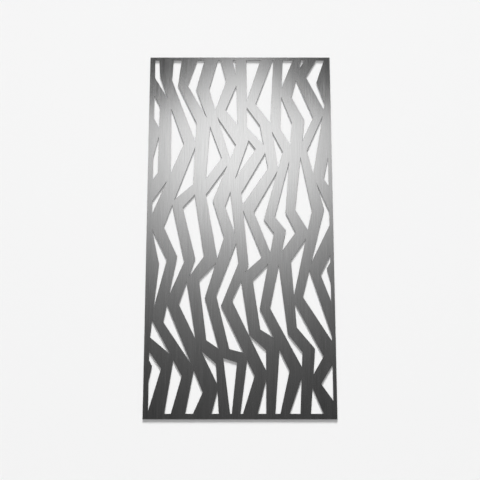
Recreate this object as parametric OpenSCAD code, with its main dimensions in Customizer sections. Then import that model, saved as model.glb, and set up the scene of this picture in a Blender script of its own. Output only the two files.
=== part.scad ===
// Laser-cut metal screen panel: one flat sheet with zig-zag bars left standing inside a plain border.
// The sheet lies on its back, with the front up. Its width runs along X, and its top points along +Y.

/* [Sheet] */
// Width of the sheet
panel_w = 900; // [600:10:1500]
// Height of the sheet
panel_h = 1800; // [1200:10:3000]
// Thickness of the sheet
sheet_t = 3; // [1:0.5:8]

/* [Border] */
// Plain border along the left side
left_border = 25; // [10:1:60]
// Plain border along the right side
right_border = 18; // [10:1:60]
// Plain border along the top
top_border = 15; // [10:1:60]
// Plain border along the bottom
bottom_border = 25; // [10:1:60]

/* [Hidden] */

field_w = panel_w - left_border - right_border;
field_h = panel_h - top_border - bottom_border;

// The pattern is drawn on a sheet of this size, and stretches to fit the real one.
drawn_w = 900;
drawn_h = 1800;
stretch = [panel_w / drawn_w, panel_h / drawn_h];

// Each bar is a zig-zag ribbon, listed by its folds from the top down. A fold runs from a corner on the
// ribbon's left side to a corner on its right side, both measured from the middle of the drawn sheet.
// Neighbouring bars touch where their outer corners meet, and the gaps that stay open are the cut-outs.
// The two edge bars run out under the side borders, past the sides of the sheet.
past_side = 600;
left_edge = [
    [[-past_side, 620], [-450, 620]], [[-past_side, 513], [-392, 513]], [[-past_side, 272], [-450, 272]],
    [[-past_side, 127], [-450, 127]], [[-past_side, -163], [-387, -163]], [[-past_side, -612], [-432, -612]],
    [[-past_side, -654], [-411, -654]], [[-past_side, -843], [-450, -843]],
];
left_loop = [
    [[-450, 743], [-450, 833]], [[-398, 643], [-340, 648]],
    [[-402, 293], [-338, 278]], [[-450, 223], [-450, 112]],
];
left_foot = [
    [[-450, -551], [-450, -496]], [[-369, -667], [-310, -613]], [[-436, -900], [-354, -900]],
];
bar_1 = [
    [[-405, 900], [-332, 900]], [[-400, 800], [-339, 777]], [[-276, 443], [-215, 439]],
    [[-442, 45], [-368, 21]], [[-350, -143], [-301, -127]], [[-421, -426], [-362, -446]],
    [[-272, -701], [-214, -664]], [[-327, -900], [-258, -900]],
];
bar_2 = [
    [[-291, 900], [-209, 900]], [[-309, 750], [-261, 751]], [[-215, 553], [-147, 548]],
    [[-229, 234], [-169, 240]], [[-331, 144], [-277, 117]], [[-267, -153], [-214, -137]],
    [[-351, -349], [-290, -360]], [[-173, -776], [-100, -750]], [[-229, -900], [-138, -900]],
];
bar_3 = [
    [[-174, 900], [-108, 900]], [[-218, 730], [-154, 731]], [[-89, 368], [-46, 353]],
    [[-221, 190], [-166, 181]], [[-173, -127], [-106, -149]], [[-255, -243], [-195, -243]],
    [[-203, -565], [-158, -532]], [[-113, -642], [-82, -585]], [[-96, -900], [-42, -900]],
];
bar_4 = [
    [[-102, 900], [-40, 900]], [[-69, 772], [-12, 765]], [[-127, 606], [-72, 618]],
    [[-20, 437], [46, 471]], [[-132, 152], [-72, 122]], [[-77, -31], [-13, -46]],
    [[-167, -329], [-113, -317]], [[-89, -613], [-50, -574]], [[-14, -637], [37, -597]],
    [[-41, -900], [-1, -900]],
];
bar_5 = [
    [[-24, 900], [32, 900]], [[-11, 531], [34, 528]], [[77, 415], [135, 416]],
    [[-50, 224], [7, 192]], [[-8, -160], [41, -167]], [[-90, -367], [-38, -343]],
    [[68, -700], [129, -689]], [[6, -900], [76, -900]],
];
bar_6 = [
    [[107, 900], [168, 900]], [[26, 643], [77, 650]], [[98, 540], [152, 548]],
    [[137, 315], [187, 309]], [[7, 123], [67, 95]], [[106, -131], [158, -139]],
    [[2, -225], [61, -243]], [[44, -508], [96, -481]], [[122, -579], [188, -540]],
    [[121, -900], [162, -900]],
];
bar_7 = [
    [[167, 900], [215, 900]], [[149, 524], [198, 523]], [[210, 401], [257, 416]],
    [[115, 57], [168, 70]], [[163, -11], [221, 2]], [[93, -381], [142, -379]],
    [[231, -676], [299, -677]], [[181, -900], [221, -900]],
];
bar_8 = [
    [[270, 900], [312, 900]], [[197, 710], [255, 688]], [[256, 552], [318, 567]],
    [[220, 92], [267, 106]], [[268, -8], [336, -11]], [[181, -130], [244, -147]],
    [[225, -503], [268, -472]], [[292, -588], [352, -573]], [[278, -900], [326, -900]],
];
bar_9 = [
    [[332, 900], [391, 900]], [[273, 797], [329, 795]], [[362, 579], [420, 612]],
    [[288, 416], [328, 405]], [[348, 103], [407, 111]], [[251, -339], [298, -325]],
    [[391, -609], [467, -590]], [[324, -724], [378, -738]], [[397, -900], [493, -900]],
];
bar_10 = [
    [[426, 900], [480, 900]], [[381, 765], [440, 765]], [[420, 652], [490, 640]],
    [[356, 279], [408, 262]], [[448, 60], [530, 79]], [[328, -184], [385, -218]],
    [[451, -570], [515, -570]],
];
right_edge = [
    [[450, -122], [past_side, -122]], [[415, -186], [past_side, -186]], [[450, -334], [past_side, -334]],
];
bars = [
    left_edge, left_loop, left_foot, bar_1, bar_2, bar_3, bar_4, bar_5, bar_6, bar_7, bar_8, bar_9, bar_10,
    right_edge,
];

function stretched(p) = [p.x * stretch.x, p.y * stretch.y];

// One bar: down its left corners, then back up its right corners.
module ribbon(folds) {
    last = len(folds) - 1;
    polygon([
        for (i = [0 : last]) stretched(folds[i][0]),
        for (i = [last : -1 : 0]) stretched(folds[i][1]),
    ]);
}

// The area inside the border.
module field() {
    translate([left_border - panel_w / 2, bottom_border - panel_h / 2])
        square([field_w, field_h]);
}

// What the laser takes out: the field without its bars.
module cut_outs() {
    difference() {
        field();
        for (bar = bars) ribbon(bar);
    }
}

module screen_panel() {
    color("silver")
        linear_extrude(sheet_t)
            difference() {
                square([panel_w, panel_h], center = true);
                cut_outs();
            }
}

screen_panel();
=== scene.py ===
# Laser-cut metal screen panel: a brushed sheet with zig-zag bars, lying on its back on a pale studio floor.
# Metres throughout. The sheet's width runs along X, its top points along +Y and its front faces up.
import math

import bpy
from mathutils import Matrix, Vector


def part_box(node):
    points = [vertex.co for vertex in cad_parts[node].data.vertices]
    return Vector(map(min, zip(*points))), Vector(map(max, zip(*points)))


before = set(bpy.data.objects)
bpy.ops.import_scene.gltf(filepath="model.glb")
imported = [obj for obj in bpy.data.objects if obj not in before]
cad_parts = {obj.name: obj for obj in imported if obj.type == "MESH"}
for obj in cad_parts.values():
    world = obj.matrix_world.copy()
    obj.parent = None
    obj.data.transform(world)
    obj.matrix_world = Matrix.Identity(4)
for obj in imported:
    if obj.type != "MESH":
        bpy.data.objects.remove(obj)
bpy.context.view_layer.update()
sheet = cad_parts["screen_panel"]
sheet_low, sheet_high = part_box("screen_panel")
sheet_middle = (sheet_low + sheet_high) / 2

# Camera: it stands over the lower edge, looks steeply down and has the top edge at the top of the picture.
VIEW_ELEVATION = math.radians(75.62)
VIEW_DISTANCE = 5.208
AIM_BELOW_MIDDLE = 0.0458
LENS_MM = 81.2

# Floor
FLOOR_SIZE = 60.0
FLOOR_DROP = 0.0002
FLOOR_COLOUR = (0.92, 0.92, 0.92, 1.0)

# Studio: the strength of its light by degrees above the horizon. The walls are bright panels with dimmer
# gaps between them, and the ceiling is dark. The far side, beyond the sheet's top edge, is the brighter one.
STUDIO_LIGHT = ((0, 0.40), (34, 0.66), (41, 0.76), (52, 0.76), (60, 0.08))
PANELS = 12
BETWEEN_PANELS = 0.5
NEAR_SIDE = 0.85
FAR_SIDE = 1.15

# Edge light: low and far off beyond the top edge, it lays a thin shadow along the cut-outs' upper edges.
# It lights the floor, and the metal doesn't reflect it.
EDGE_LIGHT_ELEVATION = math.radians(11.0)
EDGE_LIGHT_SPREAD = math.radians(9.0)
EDGE_LIGHT_STRENGTH = 9.6
EDGE_LIGHT_DISTANCE = 4.6

# Softbox: a long oval lamp overhead, whose reflection covers the sheet. Places on its face go by where the
# camera sees them on the sheet: SEEN is its top and bottom there, and FADE gives strengths from the top down.
SOFTBOX_SEEN = (0.885, -0.99)
SOFTBOX_SEEN_W = 1.5
SOFTBOX_FADE = (
    (0.88, 0.20), (0.79, 1.25), (0.68, 1.95), (0.30, 1.64), (0.075, 1.09), (-0.05, 0.75), (-0.30, 0.32),
    (-0.60, 0.10), (-0.95, 0.025),
)
SOFTBOX_DISTANCE = 4.6

# It also fades towards its sides, most of all at the very top, and less and less over the top share of its
# length. No place on it is brighter than FULL, so that its middle is even.
SOFTBOX_FULL = 1.53
SOFTBOX_SIDE_FADE = 1.25
SOFTBOX_TOP_SIDE_FADE = 16.0
SOFTBOX_TOP_SHARE = 0.17

# Brushed metal: the lighter brush marks are also the rougher ones.
METAL_DARK = (0.45, 0.45, 0.45, 1.0)
METAL_LIGHT = (0.615, 0.615, 0.615, 1.0)
ANISOTROPY = 0.5
SMOOTHEST = 0.14
ROUGHEST = 0.22

# Each brush mark is a stretched grain: its size across the brushing, along it and through the sheet.
# The weight says how much that mark shows, and the range is what the weighted marks mostly add up to.
BAND_GRAIN = (0.020, 1.5, 1.0)
BAND_WEIGHT = 0.4
STREAK_GRAIN = (0.0025, 0.16, 1.0)
STREAK_WEIGHT = 1.0
SCRATCH_GRAIN = (0.0009, 0.05, 1.0)
SCRATCH_WEIGHT = 0.6
BRUSHING_RANGE = (0.70, 1.30)
GRAIN_DETAIL = 2.0

# Laser-cut edges: dull, with fine upright ribs. How far up a surface faces tells an edge from a face.
CUT_COLOUR = (0.30, 0.30, 0.30, 1.0)
CUT_ROUGHNESS = 0.48
CUT_GRAIN = (0.0005, 0.0005, 0.02)
EDGE_TO_FACE = (0.3, 0.7)
RELIEF_DEPTH = 0.00002

# Arris: the small rounding that deburring leaves on every sharp edge.
ARRIS = 0.0004
ARRIS_STEPS = 2
SHARP_ANGLE = math.radians(30)
JOIN_WITHIN = ARRIS / 20


def add(tree, kind, inputs=None, **settings):
    """Adds a node. An input is a plain value, or another node's output to link."""
    node = tree.nodes.new(kind)
    for name, value in settings.items():
        setattr(node, name, value)
    for key, value in (inputs or {}).items():
        if isinstance(value, bpy.types.NodeSocket):
            tree.links.new(value, node.inputs[key])
        else:
            node.inputs[key].default_value = value
    return node


def ramp(tree, value, low, high, to_low, to_high):
    """Takes value from low..high to to_low..to_high, and holds it there."""
    ends = {"From Min": low, "From Max": high, "To Min": to_low, "To Max": to_high}
    return add(tree, "ShaderNodeMapRange", {"Value": value, **ends}, clamp=True).outputs["Result"]


def stepped(tree, value, stops):
    """A grey that passes through the stops, each a value from 0 to 1 and the strength it has there."""
    node = add(tree, "ShaderNodeValToRGB", {"Fac": value})
    elements = node.color_ramp.elements
    while len(elements) < len(stops):
        elements.new(1.0)
    for element, (position, strength) in zip(elements, stops):
        element.position = position
        element.color = (strength, strength, strength, 1.0)
    return node.outputs["Color"]


def maths(tree, operation, *values):
    """What an operation makes of one, two or three values."""
    return add(tree, "ShaderNodeMath", dict(enumerate(values)), operation=operation).outputs[0]


def grain(tree, place, size):
    """Noise from 0 to 1 whose grain has the given size along X, Y and Z."""
    per_metre = [1 / s for s in size]
    stretched = add(tree, "ShaderNodeVectorMath", {0: place, 1: per_metre}, operation="MULTIPLY").outputs[0]
    noise = add(tree, "ShaderNodeTexNoise", {"Vector": stretched, "Scale": 1.0, "Detail": GRAIN_DETAIL})
    return noise.outputs[0]


def blend(tree, factor, a, b):
    """A number between a and b."""
    return add(tree, "ShaderNodeMix", {0: factor, 2: a, 3: b}).outputs[0]


def blend_colours(tree, factor, a, b):
    """A colour between a and b. The node has other sockets for colours than for numbers."""
    return add(tree, "ShaderNodeMix", {0: factor, 6: a, 7: b}, data_type="RGBA").outputs[2]


def new_material(name):
    """A new material, with its node tree and its shader."""
    material = bpy.data.materials.new(name)
    material.use_nodes = True
    tree = material.node_tree
    tree.nodes.clear()
    shader = add(tree, "ShaderNodeBsdfPrincipled")
    add(tree, "ShaderNodeOutputMaterial", {"Surface": shader.outputs[0]})
    return material, tree, shader


def brushed_metal():
    """Steel brushed along Y on its faces, with the laser's fine upright ribs on the cut edges."""
    material, tree, shader = new_material("brushed_metal")
    place = add(tree, "ShaderNodeTexCoord").outputs["Object"]
    band = grain(tree, place, BAND_GRAIN)
    streak = grain(tree, place, STREAK_GRAIN)
    scratch = grain(tree, place, SCRATCH_GRAIN)
    rib = grain(tree, place, CUT_GRAIN)

    normal = add(tree, "ShaderNodeNewGeometry").outputs["Normal"]
    upright = add(tree, "ShaderNodeSeparateXYZ", {0: normal}).outputs["Z"]
    on_face = ramp(tree, maths(tree, "ABSOLUTE", upright), *EDGE_TO_FACE, 0.0, 1.0)

    brushing = maths(tree, "MULTIPLY", band, BAND_WEIGHT)
    brushing = maths(tree, "MULTIPLY_ADD", streak, STREAK_WEIGHT, brushing)
    brushing = maths(tree, "MULTIPLY_ADD", scratch, SCRATCH_WEIGHT, brushing)
    brushing = ramp(tree, brushing, *BRUSHING_RANGE, 0.0, 1.0)

    face_colour = blend_colours(tree, brushing, METAL_DARK, METAL_LIGHT)
    colour = blend_colours(tree, on_face, CUT_COLOUR, face_colour)
    tree.links.new(colour, shader.inputs["Base Color"])

    face_roughness = ramp(tree, brushing, 0.0, 1.0, SMOOTHEST, ROUGHEST)
    roughness = blend(tree, on_face, CUT_ROUGHNESS, face_roughness)
    tree.links.new(roughness, shader.inputs["Roughness"])

    height = blend(tree, on_face, rib, scratch)
    bump = add(tree, "ShaderNodeBump", {"Strength": 1.0, "Distance": RELIEF_DEPTH, "Height": height})
    tree.links.new(bump.outputs[0], shader.inputs["Normal"])

    # Brushing along Y scatters light across it, along X, which on a flat face is round the Y axis.
    tangent = add(tree, "ShaderNodeTangent", direction_type="RADIAL", axis="Y")
    tree.links.new(tangent.outputs[0], shader.inputs["Tangent"])
    shader.inputs["Metallic"].default_value = 1.0
    shader.inputs["Anisotropic"].default_value = ANISOTROPY
    return material


def soften_edges():
    """Rounds the sheet's sharp edges by the arris."""
    weld = sheet.modifiers.new("join_faces", "WELD")
    weld.merge_threshold = JOIN_WITHIN
    bevel = sheet.modifiers.new("arris", "BEVEL")
    bevel.width = ARRIS
    bevel.segments = ARRIS_STEPS
    bevel.limit_method = "ANGLE"
    bevel.angle_limit = SHARP_ANGLE
    bevel.use_clamp_overlap = False
    bevel.harden_normals = True


def lay_floor():
    """A plain pale floor under the sheet's back."""
    bpy.ops.mesh.primitive_plane_add(size=FLOOR_SIZE, location=(0, 0, sheet_low.z - FLOOR_DROP))
    floor = bpy.context.object
    floor.name = "floor"
    material, _, shader = new_material("floor")
    shader.inputs["Base Color"].default_value = FLOOR_COLOUR
    shader.inputs["Roughness"].default_value = 1.0
    shader.inputs["Specular IOR Level"].default_value = 0.0
    floor.data.materials.append(material)


def light_studio():
    """Lights the sheet and the floor from all round, and leaves the ceiling dark."""
    world = bpy.data.worlds.new("studio")
    world.use_nodes = True
    tree = world.node_tree
    tree.nodes.clear()
    way = add(tree, "ShaderNodeSeparateXYZ", {0: add(tree, "ShaderNodeTexCoord").outputs["Generated"]})
    stops = [(math.sin(math.radians(degrees)), strength) for degrees, strength in STUDIO_LIGHT]
    rings = stepped(tree, way.outputs["Z"], stops)
    side = ramp(tree, way.outputs["Y"], -1.0, 1.0, NEAR_SIDE, FAR_SIDE)
    turn = maths(tree, "ARCTAN2", way.outputs["X"], way.outputs["Y"])
    wave = maths(tree, "SINE", maths(tree, "MULTIPLY", turn, PANELS))
    panels = ramp(tree, wave, -1.0, 1.0, BETWEEN_PANELS, 1.0)
    strength = maths(tree, "MULTIPLY", side, panels)
    background = add(tree, "ShaderNodeBackground", {"Color": rings, "Strength": strength})
    add(tree, "ShaderNodeOutputWorld", {"Surface": background.outputs[0]})
    bpy.context.scene.world = world


def hang_light(name, kind, target, outwards, distance):
    """Hangs a light out from a target and turns it to face that."""
    light = bpy.data.objects.new(name, bpy.data.lights.new(name, kind))
    bpy.context.scene.collection.objects.link(light)
    light.location = target + distance * outwards
    light.rotation_euler = (-outwards).to_track_quat("-Z", "Y").to_euler()
    return light


def hang_softbox(eye):
    """Hangs the softbox so that the camera sees its reflection on the sheet, and shades its face."""
    top, bottom = SOFTBOX_SEEN
    seen_at = Vector((sheet_middle.x, (top + bottom) / 2, sheet_high.z))
    mirrored_eye = Vector((eye.x, eye.y, 2 * sheet_high.z - eye.z))
    eye_distance = (seen_at - mirrored_eye).length
    enlarged = (eye_distance + SOFTBOX_DISTANCE) / eye_distance
    outwards = (seen_at - mirrored_eye) / eye_distance
    lamp = hang_light("softbox", "AREA", seen_at, outwards, SOFTBOX_DISTANCE).data
    lamp.shape = "ELLIPSE"
    lamp.size = SOFTBOX_SEEN_W * enlarged
    lamp.size_y = (top - bottom) * enlarged

    # At this power a strength of one on its face has a brightness of one, which renders as white.
    oval_area = math.pi / 4 * lamp.size * lamp.size_y
    lamp.energy = math.pi * oval_area

    lamp.use_nodes = True
    tree = lamp.node_tree
    tree.nodes.clear()
    face = add(tree, "ShaderNodeSeparateXYZ", {0: add(tree, "ShaderNodeNewGeometry").outputs["Parametric"]})
    stops = [((top - y) / (top - bottom), strength) for y, strength in SOFTBOX_FADE]
    along = stepped(tree, face.outputs["Y"], stops)
    sideways = ramp(tree, face.outputs["X"], 0.0, 1.0, -1.0, 1.0)
    squared = maths(tree, "MULTIPLY", sideways, sideways)
    fade = ramp(tree, face.outputs["Y"], 0.0, SOFTBOX_TOP_SHARE, -SOFTBOX_TOP_SIDE_FADE, -SOFTBOX_SIDE_FADE)
    across = maths(tree, "MAXIMUM", maths(tree, "MULTIPLY_ADD", squared, fade, 1.0), 0.0)
    strength = maths(tree, "MINIMUM", maths(tree, "MULTIPLY", along, across), SOFTBOX_FULL)
    emission = add(tree, "ShaderNodeEmission", {"Strength": strength})
    add(tree, "ShaderNodeOutputLight", {"Surface": emission.outputs[0]})


def hang_edge_light():
    """Hangs the edge light, and keeps it out of the metal's reflections."""
    outwards = Vector((0, math.cos(EDGE_LIGHT_ELEVATION), math.sin(EDGE_LIGHT_ELEVATION)))
    light = hang_light("edge_light", "SUN", sheet_middle, outwards, EDGE_LIGHT_DISTANCE)
    light.visible_glossy = False
    light.data.angle = EDGE_LIGHT_SPREAD
    light.data.energy = EDGE_LIGHT_STRENGTH


def set_camera():
    """Sets the camera up and returns where it stands."""
    data = bpy.data.cameras.new("camera")
    data.lens = LENS_MM
    camera = bpy.data.objects.new("camera", data)
    bpy.context.scene.collection.objects.link(camera)
    aim = Vector((sheet_middle.x, sheet_middle.y - AIM_BELOW_MIDDLE, sheet_low.z))
    back = Vector((0, -math.cos(VIEW_ELEVATION), math.sin(VIEW_ELEVATION)))
    camera.location = aim + VIEW_DISTANCE * back
    camera.rotation_euler = (-back).to_track_quat("-Z", "Y").to_euler()
    bpy.context.scene.camera = camera
    return camera.location


sheet.data.materials.clear()
sheet.data.materials.append(brushed_metal())
soften_edges()
lay_floor()
light_studio()
eye = set_camera()
hang_softbox(eye)
hang_edge_light()
bpy.context.scene.view_settings.view_transform = "Standard"
